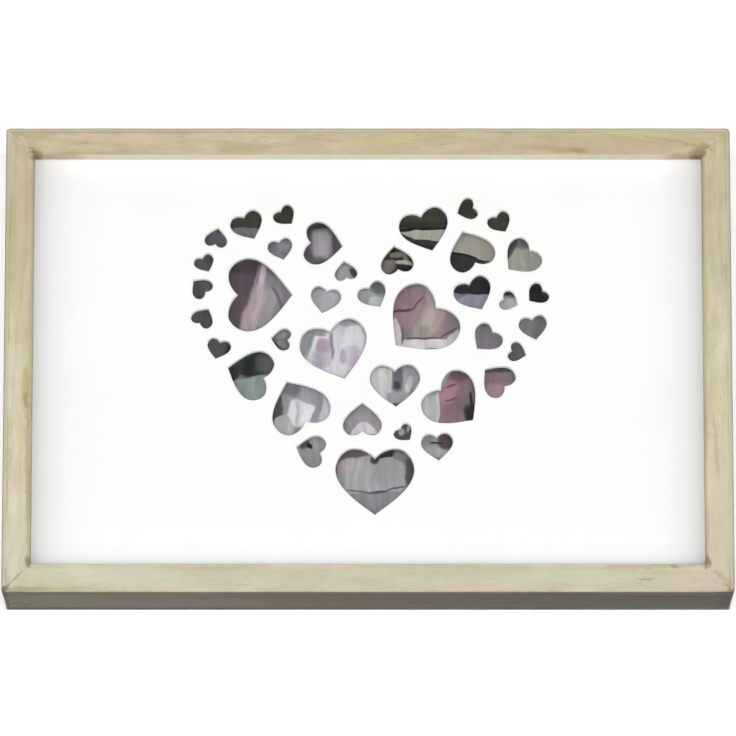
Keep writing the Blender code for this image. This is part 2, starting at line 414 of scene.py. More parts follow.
PRINT_STRAYING = 0.0055  # how far the areas' outlines stray, and how many lumps to a metre they have
PRINT_LUMPS = 60
PRINT_FOLDS = (0.84, 1.14)  # how light the print's soft folds are at their darkest and lightest
# Painted shade on the print under each opening's edge, where the board shadows it.
CARD_RINGS = (0.25, 0.5, 0.75, 1.0)  # shares of the rim's width where rings of points run
RIM_FADE = [(0.0, 1.0), (0.25, 0.6), (0.55, 0.2), (1.0, 0.0)]  # how strong the rim's shade is, across it

# The print's broad areas, one over the other: how far across and up its middle is, its half width and
# half height, all in millimetres, its turn in degrees, how soft its edge is, and its colour. mauve_rim and
# right_rim, dark along openings' edges, are partly painted shade cast by the board.
PRINT_AREAS = {
    "dark_wall": ((0, 82), (170, 23), 0, 0.02, paint(64, 67, 53)),
    "slate_left": ((-86, 22), (27, 44), 0, 0.15, paint(90, 89, 97)),
    "grey_sill": ((-54, 56.5), (9, 4.6), 0, 0.1, paint(124, 121, 124)),
    "sill_light": ((-36.8, 53.4), (3.2, 2.6), 10, 0.9, paint(150, 147, 151)),
    "sill_shade": ((-38.4, 48.6), (3.0, 1.7), 0, 0.8, paint(88, 85, 87)),
    "grey_drape": ((-40, 31), (13, 20), 0, 0.3, paint(144, 139, 145)),
    "drape_shade": ((-45, 46), (6, 3.4), -32, 0.8, paint(116, 106, 116)),
    "drape_light": ((-44.6, 24), (2.4, 9), -10, 0.9, paint(172, 166, 168)),
    "drape_fold": ((-40.4, 30.5), (0.8, 5.5), 24, 0.7, paint(112, 109, 116)),
    "mauve_shade": ((-61.2, 31.8), (9.2, 25), -14, 0.06, paint(96, 82, 89)),
    "mauve_dusk": ((-56.5, 46), (8, 4.4), 0, 0.9, paint(72, 60, 66)),
    "pink_streak": ((-47.4, 35), (1.3, 11), -7, 0.8, paint(202, 180, 190)),
    "pink_foot": ((-50.6, 24.5), (3.4, 11), -17, 0.9, paint(186, 168, 174)),
    "mauve_rim": ((-20, 52), (12.5, 9.4), 0, 0.4, paint(98, 93, 99)),
    "mauve_light": ((-20.6, 54.2), (4.6, 6.0), 0, 0.9, paint(172, 163, 172)),
    "ledge_left": ((-37.6, 12.9), (2.3, 1.8), 20, 0.9, paint(152, 149, 152)),
    "ledge_right": ((-38.2, 8.6), (2.0, 1.6), 0, 0.9, paint(142, 140, 142)),
    "teal_shade": ((-51, 3.4), (12.6, 8.2), -3, 0.1, paint(50, 54, 54)),
    "teal_foot": ((-60.6, -4.4), (5, 3.6), 42, 0.2, paint(50, 54, 54)),
    "teal_dusk": ((-52.6, 1.5), (2.2, 7), 0, 0.7, paint(32, 38, 38)),
    "teal_light": ((-44.8, 0.6), (4.4, 4.6), 0, 0.8, paint(96, 95, 97)),
    "pale_slate": ((-51, -13), (11, 7.6), 10, 0.1, paint(150, 160, 158)),
    "pale_rim": ((-57.2, -12), (0.8, 5.5), 36, 0.4, paint(200, 204, 203)),
    "grey_cloth": ((-29, -18), (14, 15), 0, 0.2, paint(168, 165, 172)),
    "cloth_dusk": ((-35, -11), (5, 3.4), -20, 0.8, paint(132, 127, 137)),
    "white_cloth": ((-29.4, -22.4), (6.6, 6.2), -12, 0.25, paint(236, 234, 240)),
    "cloth_right": ((-18.2, -20.5), (3.4, 7), 0, 0.6, paint(222, 220, 226)),
    "cloth_fold": ((-22.4, -19.4), (1.4, 7.5), -16, 0.6, paint(168, 164, 172)),
    "cloth_soft_fold": ((-30.8, -22), (0.9, 6), 2, 0.8, paint(204, 203, 209)),
    "cloth_edge": ((-41, -19), (2.8, 9), 4, 0.6, paint(84, 82, 84)),
    "beige_fold": ((-36.8, -28.4), (4.4, 5.4), 28, 0.15, paint(190, 190, 188)),
    "lavender_cloth": ((-14, 6), (17, 16), 12, 0.3, paint(224, 221, 228)),
    "lavender_shade": ((-27.4, 9), (2.4, 6), -8, 0.7, paint(158, 157, 161)),
    "lavender_brow": ((-23.5, 14.4), (5, 1.9), -4, 0.9, paint(156, 155, 158)),
    "lavender_lobe": ((-7.5, 20.4), (6, 2.2), 0, 0.9, paint(172, 172, 175)),
    "pink_cloth": ((-19.8, 8.2), (3.3, 3.3), 0, 0.5, paint(184, 160, 178)),
    "pink_shade": ((-20.4, 2.4), (3.6, 3.4), 0, 0.8, paint(192, 184, 194)),
    "lavender_fold": ((-15.9, 8.5), (0.8, 6.5), 4, 0.6, paint(162, 152, 166)),
    "rose_cloth": ((-7.8, 4.2), (4.2, 4.2), 0, 0.4, paint(208, 196, 210)),
    "rose_shade": ((-10.6, 4.0), (1.2, 2.8), 10, 0.7, paint(182, 172, 183)),
    "grey_left": ((-19, 29), (9, 8), 0, 0.3, paint(186, 186, 190)),
    "grey_middle": ((2, 31), (8, 8), 0, 0.3, paint(172, 172, 174)),
    "middle_shade": ((4.6, 34.8), (3.4, 2.4), -10, 0.6, paint(122, 122, 125)),
    "middle_light": ((4.4, 28.4), (4, 2.6), -14, 0.4, paint(202, 206, 204)),
    "middle_line": ((8.0, 31.6), (0.7, 2.8), 0, 0.5, paint(84, 84, 86)),
    "grey_notch": ((-11.4, 41.5), (5.4, 6), 0, 0.4, paint(170, 168, 170)),
    "notch_shade": ((-6.6, 41.4), (1.5, 2.2), 24, 0.5, paint(84, 83, 84)),
    "pale_post": ((4, -9), (7.6, 12), 0, 0.3, paint(216, 210, 212)),
    "grey_stone": ((19.4, -9), (7, 12), 0, 0.3, paint(168, 169, 173)),
    "slate_line": ((12.9, -7), (2.3, 6), -6, 0.6, paint(104, 106, 112)),
    "slate_core": ((12.6, -9.6), (1.3, 1.7), 0, 0.7, paint(58, 60, 65)),
    "stone_light": ((17.6, -9.0), (1.2, 3.4), -22, 0.7, paint(208, 208, 210)),
    "stone_foot": ((12, -15), (4, 2.4), 0, 0.8, paint(164, 164, 168)),
    "mauve_ground": ((-3, -25), (14, 9), 0, 0.4, paint(168, 160, 166)),
    "pale_chevron": ((-1.8, -31.6), (5.4, 5.4), 45, 0.15, paint(218, 215, 222)),
    "light_ground": ((1.5, -50.2), (15.4, 9.4), 0, 0.12, paint(180, 177, 178)),
    "ground_blush": ((-8, -45.2), (5, 1.8), 0, 0.9, paint(192, 178, 181)),
    "ground_right": ((9.4, -49), (6, 6), 0, 0.9, paint(164, 160, 164)),
    "plum_brow": ((-7.4, -39.6), (8, 2.6), 0, 0.3, paint(108, 94, 100)),
    "notch_dusk": ((3.2, -43.4), (2, 2), 45, 0.8, paint(64, 58, 64)),
    "black_brow": ((8.2, -40.6), (4.8, 2.4), 12, 0.4, paint(48, 48, 50)),
    "grey_brow": ((14.6, -41.8), (3, 2.2), -20, 0.6, paint(132, 132, 136)),
    "right_rim": ((18.6, -48), (2.0, 6.4), -4, 0.7, paint(88, 88, 91)),
    "blue_ground": ((3, -67), (24, 9.8), 0, 0.06, paint(150, 150, 155)),
    "left_ground_line": ((-4.4, -56.4), (5.4, 0.35), -10, 0.6, paint(104, 103, 110)),
    "middle_ground_line": ((4.4, -57.5), (4.4, 0.5), 0, 0.6, paint(92, 91, 98)),
    "right_ground_line": ((12, -56), (4.8, 0.4), 17, 0.6, paint(104, 103, 110)),
    "pinkish_brown": ((23, 20), (18, 18), -10, 0.15, paint(152, 134, 138)),
    "upper_pink": ((15.8, 32), (4, 5), 0, 0.9, paint(156, 126, 137)),
    "upper_light": ((28, 31.5), (2.6, 5), 0, 0.9, paint(176, 160, 164)),
    "pale_pink": ((27.2, 20.4), (4.4, 6), -15, 0.9, paint(188, 172, 168)),
    "brown_foot": ((21.6, 15.2), (5.4, 3.0), 0, 1.0, paint(160, 150, 143)),
    "red_patch": ((13.8, 20.6), (2.0, 3.8), 20, 0.6, paint(166, 124, 138)),
    "red_fold": ((15.4, 24.6), (4.6, 0.6), 14, 0.5, paint(112, 62, 80)),
    "red_fold_end": ((21.6, 28.0), (3.6, 0.4), 42, 0.6, paint(134, 82, 98)),
    "mottled_corner": ((17.4, 15.4), (2.0, 3), 0, 0.8, paint(140, 130, 138)),
    "white_hem": ((26, 9.0), (14, 2.4), 0, 0.25, paint(220, 214, 222)),
    "hem_rise": ((37.8, 12.8), (4.2, 1.6), 48, 0.4, paint(212, 212, 215)),
    "hem_line": ((24.6, 11.9), (8.4, 0.55), 0, 0.5, paint(104, 92, 100)),
    "hem_line_rise": ((35.4, 14.4), (4.2, 0.5), 38, 0.5, paint(104, 94, 102)),
    "white_corner": ((12, 14.0), (2.6, 6.8), 6, 0.25, paint(222, 215, 223)),
    "corner_line": ((15.3, 13.6), (0.5, 4.6), 0, 0.6, paint(110, 98, 108)),
    "beige_wedge": ((26, 57.6), (15, 3.9), 0, 0.1, paint(176, 177, 161)),
    "left_dark_wedge": ((15.4, 55.8), (8, 3.6), -26, 0.1, paint(52, 50, 50)),
    "right_dark_wedge": ((27, 52.2), (10, 4), -12, 0.1, paint(52, 50, 50)),
    "olive_dusk": ((25, 63.2), (13, 1.6), 0, 0.9, paint(48, 50, 39)),
    "black_line": ((25, 61.7), (13, 0.6), 0, 0.3, paint(24, 24, 20)),
    "black_arch": ((12.8, 48), (8.6, 7.4), 0, 0.2, paint(40, 38, 36)),
    "brown_lobe": ((8.4, 44.2), (3.4, 3), 0, 0.4, paint(128, 113, 113)),
    "olive_arc": ((12.6, 49.2), (3.6, 1.2), 4, 0.5, paint(128, 128, 106)),
    "olive_arc_end": ((16.2, 47.4), (1.1, 1.9), 30, 0.5, paint(118, 118, 98)),
    "pale_arc": ((15.4, 45.6), (4.0, 0.9), -8, 0.6, paint(184, 181, 171)),
    "beige_upper": ((46, 53), (12, 9), 0, 0.1, paint(166, 161, 150)),
    "charcoal_wedge": ((42.3, 43.4), (14, 6), -17, 0.05, paint(52, 48, 56)),
    "charcoal_line": ((45, 48.8), (10.5, 0.5), -17, 0.4, paint(26, 25, 28)),
    "beige_right": ((70, 48), (11, 11), 0, 0.1, paint(168, 170, 157)),
    "grey_peak": ((68, 56), (5, 3.4), 0, 0.9, paint(108, 110, 104)),
    "grey_wedge": ((61.8, 52.6), (3.0, 7), -28, 0.3, paint(82, 82, 83)),
    "black_band": ((57, 37), (24, 5.4), 0, 0.05, paint(38, 36, 42)),
    "lavender_band": ((52, 26), (14, 5.8), 0, 0.05, paint(154, 152, 168)),
    "grey_step": ((63, 26.6), (4.6, 3.4), 0, 0.2, paint(190, 190, 192)),
    "black_right": ((78, 31), (8, 9), 0, 0.2, paint(38, 38, 40)),
    "grey_right": ((73, 15.5), (8, 7), 0, 0.3, paint(130, 130, 131)),
    "mauve_right": ((52, 11), (9, 9), 0, 0.3, paint(142, 136, 142)),
    "dark_right": ((66, 5), (5, 5.6), 0, 0.3, paint(104, 104, 106)),
    "dusty_rose": ((40, -16), (11, 15), 0, 0.15, paint(144, 114, 126)),
    "rose_brow": ((39.6, -4.6), (4, 2.4), 0, 0.8, paint(112, 92, 100)),
    "light_rose": ((35.4, -12.4), (2.8, 5.4), -20, 0.7, paint(182, 140, 154)),
    "rose_foot": ((35.6, -22), (3.4, 4), 0, 0.8, paint(154, 118, 130)),
    "rose_fold": ((36.2, -15.4), (2.6, 0.45), 18, 0.6, paint(130, 88, 103)),
    "rose_upper_fold": ((37.0, -9.4), (2.8, 0.45), 30, 0.6, paint(124, 84, 97)),
    "grey_disc": ((41.8, -17.4), (3.4, 4.2), 0, 0.6, paint(122, 112, 114)),
    "rose_line": ((45, -14.6), (0.7, 2.8), 12, 0.6, paint(66, 44, 53)),
    "charcoal_hem": ((45.4, -21.2), (3.4, 4.4), 10, 0.5, paint(58, 56, 55)),
    "pale_sleeve": ((25.4, -19), (6.5, 11), 0, 0.08, paint(198, 198, 200)),
    "sleeve_rise": ((31.6, -7.4), (3.2, 8), -28, 0.1, paint(176, 176, 178)),
    "dusty_pink": ((56, -9), (9, 8), 0, 0.2, paint(146, 124, 131)),
    "pink_foot_right": ((56, -12.6), (4.2, 3.2), 0, 0.7, paint(184, 148, 157)),
    "pink_rim": ((56.6, -2.2), (8, 2.0), -4, 0.6, paint(80, 76, 78)),
    "pink_end": ((62.4, -6.4), (3.0, 2.4), 0, 0.7, paint(130, 126, 127)),
    "grey_lower": ((29, -38), (8, 8), 0, 0.2, paint(166, 162, 164)),
    "plum_lower": ((34.3, -34.8), (3.4, 3.6), -10, 0.5, paint(90, 72, 82)),
    "plum_line": ((30.4, -35.6), (2.4, 0.5), 6, 0.5, paint(42, 33, 39)),
    "pale_lower": ((29.8, -40), (4.2, 2.0), -20, 0.8, paint(196, 190, 194)),
    "dark_lower": ((16, -32), (5, 5), 0, 0.3, paint(96, 96, 99)),
    "lower_fleck": ((14.2, -30.4), (1.2, 1.4), 30, 0.7, paint(190, 188, 191)),
    "lower_second_fleck": ((17.7, -28.6), (0.8, 2), -20, 0.7, paint(184, 184, 187)),
    "grey_foot": ((-26, -39), (9, 9), 0, 0.2, paint(164, 164, 166)),
    "foot_shade": ((-28.2, -36.2), (2.8, 2.2), 22, 0.6, paint(84, 84, 86)),
    "foot_core": ((-25.6, -37.4), (1.4, 1.0), -20, 0.7, paint(28, 28, 30)),
}

PALE_VENEER = paint(204, 184, 150)
DARK_VENEER = (paint(170, 146, 108), 0.3)  # along the growth rings, and how strong it is
VENEER_TONE = [(0.0, 0.25), (0.12, 0.0), (0.6, 0.2), (0.92, 0.9), (1.0, 0.25)]  # how dark, across one ring
PLY_PAIRS = 2.5  # pairs of a pale and a dark ply in the thickness
PLY_EDGE_TINT = (0.64, 0.68, 0.80)

# ---------------------------------------------------------------- the stage

FLOOR_SIZE = 20.0
KEY_ANGLES = (-66, -44, -22, 0, 22, 44, 66)  # how far the key light's parts lean to the side, in degrees
KEY_LEAN = 7  # how far they all lean to the box's lower side
KEY_SPREAD = 24
KEY_WEIGHT = 0.8  # of the key light's middle part
KEY_GAIN = 0.4  # what its outermost parts have more
MIRRORED_BEYOND = 30  # the pane mirrors none of the key light's parts that lean less than this
RIM_TOWARDS = (0.0, 0.95, 0.3)
RIM_SPREAD = 30
SENSOR_WIDTH = 36.0  # millimetres
CLIP_END = 50.0

# ---------------------------------------------------------------- what a user can change


def length(name, description, default):
    return FloatProperty(name=name, description=description, default=default, min=0.0, unit="LENGTH")


def portion(name, description, default):
    return FloatProperty(
        name=name, description=description, default=default, min=0.0, max=1.0, subtype="FACTOR"
    )


def amount(name, description, default, least=0.0):
    return FloatProperty(name=name, description=description, default=default, min=least)


def colour(name, description, default):
    return FloatVectorProperty(
        name=name, description=description, default=default, min=0.0, max=1.0, size=3, subtype="COLOR"
    )


class RailSettings(bpy.types.PropertyGroup):
    """The wooden rails."""

    front_rounding: length("Front rounding", "Radius of the rails' outer front edges", 0.0016)
    corner_rounding: length("Corner rounding", "Radius down the box's four outer corners", 0.0015)
    edge_easing: length("Edge easing", "Radius of the rails' other edges", 0.0005)
    corner_blend: length("Corner blend", "How far from a corner each front edge takes its own radius", 0.012)
    joint_gap: length("Joint gap", "Width of the fine line at each mitre", 0.00003)
    ring_spacing: length("Ring spacing", "Distance between the wood's growth rings", 0.0026)
    straw: colour("Straw", "The wood's main colour", paint(213, 207, 181))
    blush: colour("Blush", "The pinkish streaks in the wood", paint(214, 197, 180))
    olive: colour("Olive", "The greenish streaks in the wood", paint(202, 198, 158))
    ring: colour("Ring", "The dark side of each growth ring", paint(186, 173, 142))
    roughness: portion("Roughness", "How matt the bare wood is", 0.68)


class BoardSettings(bpy.types.PropertyGroup):
    """The white board in front."""

    edge_easing: length("Edge easing", "Width of the eased edge round each opening", 0.0004)
    white: colour("White", "The board's matt paint", (0.92, 0.92, 0.915))
    eased_edge_grey: colour("Eased edge grey", "The grey on the eased edge round each opening", (0.72, 0.72, 0.72))
    wall: colour("Opening wall", "The paint on the walls of the openings", (0.86, 0.86, 0.85))
    # painted light: the openings' walls glow as though lit
    painted_wall_light: amount("Painted wall light", "How bright the painted light on those walls is", 0.3)
    roughness: portion("Roughness", "How matt the paint is", 0.55)


class PaneSettings(bpy.types.PropertyGroup):
    """The clear pane behind the openings."""

    tint: colour("Tint", "The pane's faint tint", (0.985, 0.995, 0.99))
    roughness: portion("Roughness", "How far the pane blurs what it mirrors", 0.02)
    bending: amount("Bending", "The pane's index of refraction", 1.46, least=1.0)


class PrintSettings(bpy.types.PropertyGroup):
    """The printed card."""

    ground: colour("Ground", "The print's colour where no area lies", paint(118, 114, 118))
    card: colour("Card", "The card's bare edges and back", paint(214, 208, 196))
    lightness: amount("Lightness", "How light the print's inks are", 1.39)
    # painted shade on the print under the openings' edges
    rim_width: length("Rim width", "How far the shade of each opening's edge reaches over the print", 0.0015)
    rim_shade: portion("Rim shade", "How dark the print is under each opening's edge", 0.24)
    roughness: portion("Roughness", "How matt the print is", 0.58)


class BackSettings(bpy.types.PropertyGroup):
    """The board that closes the box."""

    veneer: colour("Veneer", "The plywood's faces", paint(196, 178, 142))
    core: colour("Core", "The plywood's darker middle ply", paint(158, 134, 98))
    roughness: portion("Roughness", "How matt the plywood is", 0.75)


class StageSettings(bpy.types.PropertyGroup):
    """The floor, the lights and the camera."""

    distance: length("Camera distance", "How far the camera is from the middle of the front", 3.0)
    tilt: FloatProperty(
        name="Camera tilt",
        description="How far the camera leans from straight above towards the box's lower side",
        default=math.radians(12),
        subtype="ANGLE",
    )
    aim: length("Camera aim", "How far below the front's middle it looks", 0.0044)
    lens: amount("Lens", "The camera's focal length in millimetres", 334.3)
    floor: colour("Floor", "The floor's colour", (0.93, 0.93, 0.93))
    floor_glow: amount("Floor glow", "How bright the floor is in shade", 0.3)
    key_strength: amount("Key", "Strength of the soft light from above", 4.33)
    fill_strength: amount("Fill", "Strength of the light from all round", 0.05)
    rim_strength: amount("Rim", "Strength of the low light from the far side", 0.45)


# ---------------------------------------------------------------- laying out nodes

SOFT_SPREAD = 1.5  # how far a patch's edge spreads to either side, for a softness of 1


class Bench:
    """Lays out the nodes of one material."""

    def __init__(self, name):
        self.material = bpy.data.materials.new(name)
        self.material.use_nodes = True
        self.tree = self.material.node_tree
        self.shader = self.tree.nodes["Principled BSDF"]
        self.turns = {}

    def feed(self, socket, source):
        """Links a socket to another one, or sets its plain value."""
        if isinstance(source, bpy.types.NodeSocket):
            self.tree.links.new(source, socket)
        elif isinstance(source, tuple) and socket.type == "RGBA":
            socket.default_value = (*source, 1.0)
        else:
            socket.default_value = source

    def node(self, kind, *sources, **settings):
        """Adds a node, sets it up, and feeds its first inputs."""
        node = self.tree.nodes.new("ShaderNode" + kind)
        for key, value in settings.items():
            setattr(node, key, value)
        for socket, source in zip(node.inputs, sources):
            self.feed(socket, source)
        return node

    def calc(self, operation, *sources):
        """Works out a number."""
        return self.node("Math", *sources, operation=operation).outputs[0]

    def vector(self, operation, *sources):
        """Works out a vector."""
        return self.node("VectorMath", *sources, operation=operation).outputs[0]

    def dot(self, first, second):
        return self.node("VectorMath", first, second, operation="DOT_PRODUCT").outputs["Value"]

    def fade(self, value, start, end, low=0.0, high=1.0):
        """Goes smoothly from low to high while value goes from start to end."""
        node = self.node("MapRange", value, start, end, low, high, interpolation_type="SMOOTHSTEP")
        return node.outputs[0]

    def nearing(self, value, limit, start, full):
        """Goes smoothly from 0 to 1 while value goes from start short of a limit to full short of it."""
        return self.fade(value, limit - start, limit - full)

    def span(self, value, start, end):
        """Where value lies between start and end, from 0 to 1."""
        return self.node("MapRange", value, start, end).outputs[0]

    def soft_noise(self, position, lumps, layers, strength=0.5):
        """Noise with so many lumps to a metre along X, Y and Z, and layers of finer ones."""
        node = self.node("TexNoise", self.vector("MULTIPLY", position, lumps))
        node.inputs["Scale"].default_value = 1.0
        node.inputs["Detail"].default_value = layers
        node.inputs["Roughness"].default_value = strength
        return node.outputs

    def cloud(self, position, lumps, layers=2.0, strength=0.5):
        """Soft noise from 0 to 1, with so many lumps to a metre along X, Y and Z."""
        return self.soft_noise(position, lumps, layers, strength)["Fac"]

    def straying(self, position, lumps, reach, layers=2.0):
        """A soft push across and up, by up to half of reach to either side."""
        push = self.soft_noise(position, (lumps, lumps, lumps), layers)["Color"]
        return self.vector("MULTIPLY", self.vector("SUBTRACT", push, (0.5, 0.5, 0.5)), (reach, reach, 0.0))

    def blend(self, factor, first, second, mode="MIX"):
        """Mixes two colours, which are a Mix node's inputs 6 and 7, and its output 2."""
        node = self.node("Mix", data_type="RGBA", blend_type=mode)
        self.feed(node.inputs[0], factor)
        self.feed(node.inputs[6], first)
        self.feed(node.inputs[7], second)
        return node.outputs[2]

    def tint(self, tone, tints):
        """Multiplies a colour by another one."""
        return self.blend(1.0, tone, tints, "MULTIPLY")

    def scale(self, tone, factor):
        """Makes a colour lighter or darker by a number."""
        return self.tint(tone, self.node("CombineColor", factor, factor, factor).outputs[0])

    def stain(self, tone, mask, ink, strength):
        """Lays a colour over another one where the mask is, with so much strength."""
        return self.blend(self.calc("MULTIPLY", mask, strength), tone, ink)

    def ramp(self, value, stops):
        """A run of colours through (place, colour) points."""
        node = self.node("ValToRGB", value)
        points = node.color_ramp.elements
        while len(points) < len(stops):
            points.new(0.5)
        for point, (place, tone) in zip(points, stops):
            point.position = place
            point.color = (*tone, 1.0)
        return node.outputs[0]

    def curve(self, value, stops):
        """A curve through (place, height) points."""
        return self.ramp(value, [(place, (height, height, height)) for place, height in stops])

    def turned(self, position, turn):
        """The place across and up, as seen by something that is turned about +Z by so many degrees."""
        key = (position.node.name, turn)
        if key not in self.turns:
            cosine, sine = math.cos(math.radians(turn)), math.sin(math.radians(turn))
            across = self.dot(position, (cosine, sine, 0.0))
            up = self.dot(position, (-sine, cosine, 0.0))
            self.turns[key] = self.node("CombineXYZ", across, up, 0.0).outputs[0]
        return self.turns[key]

    def patch(self, position, middle, half_size, turn, softness, squareness=3.0):
        """1 inside a soft oblong patch of the XY plane, whose sizes are in millimetres, and 0 outside."""
        place = Matrix.Rotation(-math.radians(turn), 2) @ Vector(middle)
        scaled = self.vector(
            "MULTIPLY_ADD",
            self.turned(position, turn),
            (1 / MILLIMETRE / half_size[0], 1 / MILLIMETRE / half_size[1], 0.0),
            (-place.x / half_size[0], -place.y / half_size[1], 0.0),
        )
        powers = self.vector("POWER", self.vector("ABSOLUTE", scaled), (squareness, squareness, 1.0))
        spread = SOFT_SPREAD * softness
        return self.fade(self.dot(powers, (1.0, 1.0, 0.0)), 1.0 + spread, max(0.0, 1.0 - spread))

    def place(self):
        """The place in the piece's own axes."""
        return self.node("TexCoord").outputs["Object"]

    def axes(self, place):
        """A place's X, Y and Z."""
        return self.node("SeparateXYZ", place).outputs

    def bump(self, height, distance, strength):
        """Raises the surface by up to distance, in looks alone."""
        node = self.node("Bump")
        node.inputs["Strength"].default_value = strength
        node.inputs["Distance"].default_value = distance
        self.feed(node.inputs["Height"], height)
        self.feed(self.shader.inputs["Normal"], node.outputs[0])

    def glow(self, strength):
        """Lets the surface give off a little white light."""
        self.shader.inputs["Emission Color"].default_value = WHITE
        self.feed(self.shader.inputs["Emission Strength"], strength)

    def finish(self, base, roughness, gloss=0.5):
        """Feeds the shader, and gives the finished material."""
        self.feed(self.shader.inputs["Base Color"], base)
        self.feed(self.shader.inputs["Roughness"], roughness)
        self.shader.inputs["Specular IOR Level"].default_value = gloss
        return self.material


# ---------------------------------------------------------------- making pieces


def make_piece(name, bm, material, sharp_angle=35):
    """Turns a bmesh into a smoothly shaded object, whose edges are sharp from an angle on, in degrees."""
    bmesh.ops.recalc_face_normals(bm, faces=bm.faces[:])
    mesh = bpy.data.meshes.new(name)
    bm.to_mesh(mesh)
    bm.free()
    mesh.materials.append(material)
    mesh.shade_smooth()
    mesh.set_sharp_from_angle(angle=math.radians(sharp_angle))
    piece = bpy.data.objects.new(name, mesh)
    bpy.context.scene.collection.objects.link(piece)
    return piece


def settle(piece, node):
    """Lets a piece stand for a node of the frame."""
    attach(piece, BODY)
    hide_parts(node)


def dress(node, material):
    """Gives a node of the frame a better material."""
    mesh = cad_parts[node].data
    mesh.materials.clear()
    mesh.materials.append(material)


def arc(centre, radius, start, end, steps):
    """Points on a round corner, from one angle to the other, in degrees."""
    angles = [math.radians(start + (end - start) * step / steps) for step in range(steps + 1)]
    return [(centre[0] + radius * math.cos(a), centre[1] + radius * math.sin(a)) for a in angles]


def corners_of(low, high):
    """The corners of a sheet between two points, as (across, up) pairs."""
    return [(low.x, low.y), (high.x, low.y), (high.x, high.y), (low.x, high.y)]


def add_loop(bm, points):
    """Adds a closed run of edges through the points."""
    verts = [bm.verts.new(point) for point in points]
    return [bm.edges.new((verts[index - 1], verts[index])) for index in range(len(verts))]


# ---------------------------------------------------------------- rails


def rail_outline(settings, rounding):
    """The rail's cross-section, as (distance in from the box's side, height) points, round its outline."""
    easing = settings.edge_easing
    inner = RAIL_THICKNESS
    return [
        *arc((easing, RAIL_BOTTOM + easing), easing, 270, 180, EASING_STEPS),
        *((0.0, RAIL_BOTTOM + share * (FRONT - RAIL_BOTTOM)) for share in SIDE_ROWS),
        *arc((rounding, FRONT - rounding), rounding, 180, 90, ROUNDING_STEPS),
        *((share * inner, FRONT) for share in FRONT_ROWS),
        *arc((inner - easing, FRONT - easing), easing, 90, 0, EASING_STEPS),
        (inner, GROOVE_TOP),
        (GROOVE_FLOOR, GROOVE_TOP),
        (GROOVE_FLOOR, GROOVE_BOTTOM),
        (inner, GROOVE_BOTTOM),
        (inner, RAIL_BOTTOM),
    ]


def edge_rounding(settings, length_out, along, seed, share_of_rounding):
    """The radius of a rail's outer front edge, which strays along the rail but not at the corners."""
    strays = noise.noise(Vector((along * length_out / 2 * EDGE_LUMPS, seed, 0.5)))
    own = share_of_rounding * (1 + EDGE_STRAYING * strays)
    away = min(1.0, (1 - abs(along)) * length_out / 2 / settings.corner_blend)
    return settings.front_rounding * (1 + (own - 1) * away * away * (3 - 2 * away))


def rail_section(settings, length_out, reach, along, bend, seed, share_of_rounding):
    """One cross-section of a rail: along runs from -1 to 1 between its corners, and bend from 0 at the
    start of a corner to 45 degrees at the mitre."""
    rounding = edge_rounding(settings, length_out, along, seed, share_of_rounding)
    half = (length_out - settings.joint_gap) / 2
    side = -1 if along < 0 else 1
    section = []
    for inset, height in rail_outline(settings, rounding):
        radius = max(settings.corner_rounding - inset, LEAST_RADIUS)
        x = along * (half - inset - radius) + side * radius * math.sin(bend)
        y = inset - reach + radius * (1 - math.cos(bend))
        dip = JOINT_DIP * math.sin(bend) / math.sin(MITRE) if height > FRONT - DIP_DEPTH else 0.0
        section.append(Vector((x, y, height - dip)))
    return section


def make_rail(name, length_out, reach, turn, seed, share_of_rounding, material, settings):
    """A mitred rail, made along X with its outer side at -Y, and turned into place."""
    stations = round(length_out / STATION_SPACING)
    bends = [MITRE * step / BEND_STEPS for step in range(1, BEND_STEPS + 1)]
    spots = [(-1, bend) for bend in reversed(bends)]
    spots += [(2 * step / stations - 1, 0.0) for step in range(stations + 1)]
    spots += [(1, bend) for bend in bends]
    bm = bmesh.new()
    rings = []
    for along, bend in spots:
        section = rail_section(settings, length_out, reach, along, bend, seed, share_of_rounding)
        rings.append([bm.verts.new(point) for point in section])
    for ring, following in zip(rings, rings[1:]):
        for index, vert in enumerate(ring):
            bm.faces.new((ring[index - 1], vert, following[index], following[index - 1]))
    for ring in (rings[0], rings[-1]):
        bm.faces.new(ring)
    piece = make_piece("finished_" + name, bm, material)
    piece.rotation_euler.z = math.radians(turn)
    return piece


def marks_on(reach, length_out, turn):
    """The marks that lie on one rail."""
    to_rail = Matrix.Rotation(-math.radians(turn), 4, "Z")
    for mark in MARKS.values():
        across, up = mark[0]
        place = to_rail @ Vector((across * MILLIMETRE, up * MILLIMETRE, 0.0))
        from_middle = abs(place.y + reach - RAIL_THICKNESS / 2)
        if abs(place.x) < length_out / 2 and from_middle < RAIL_THICKNESS * MARK_REACH:
            yield mark


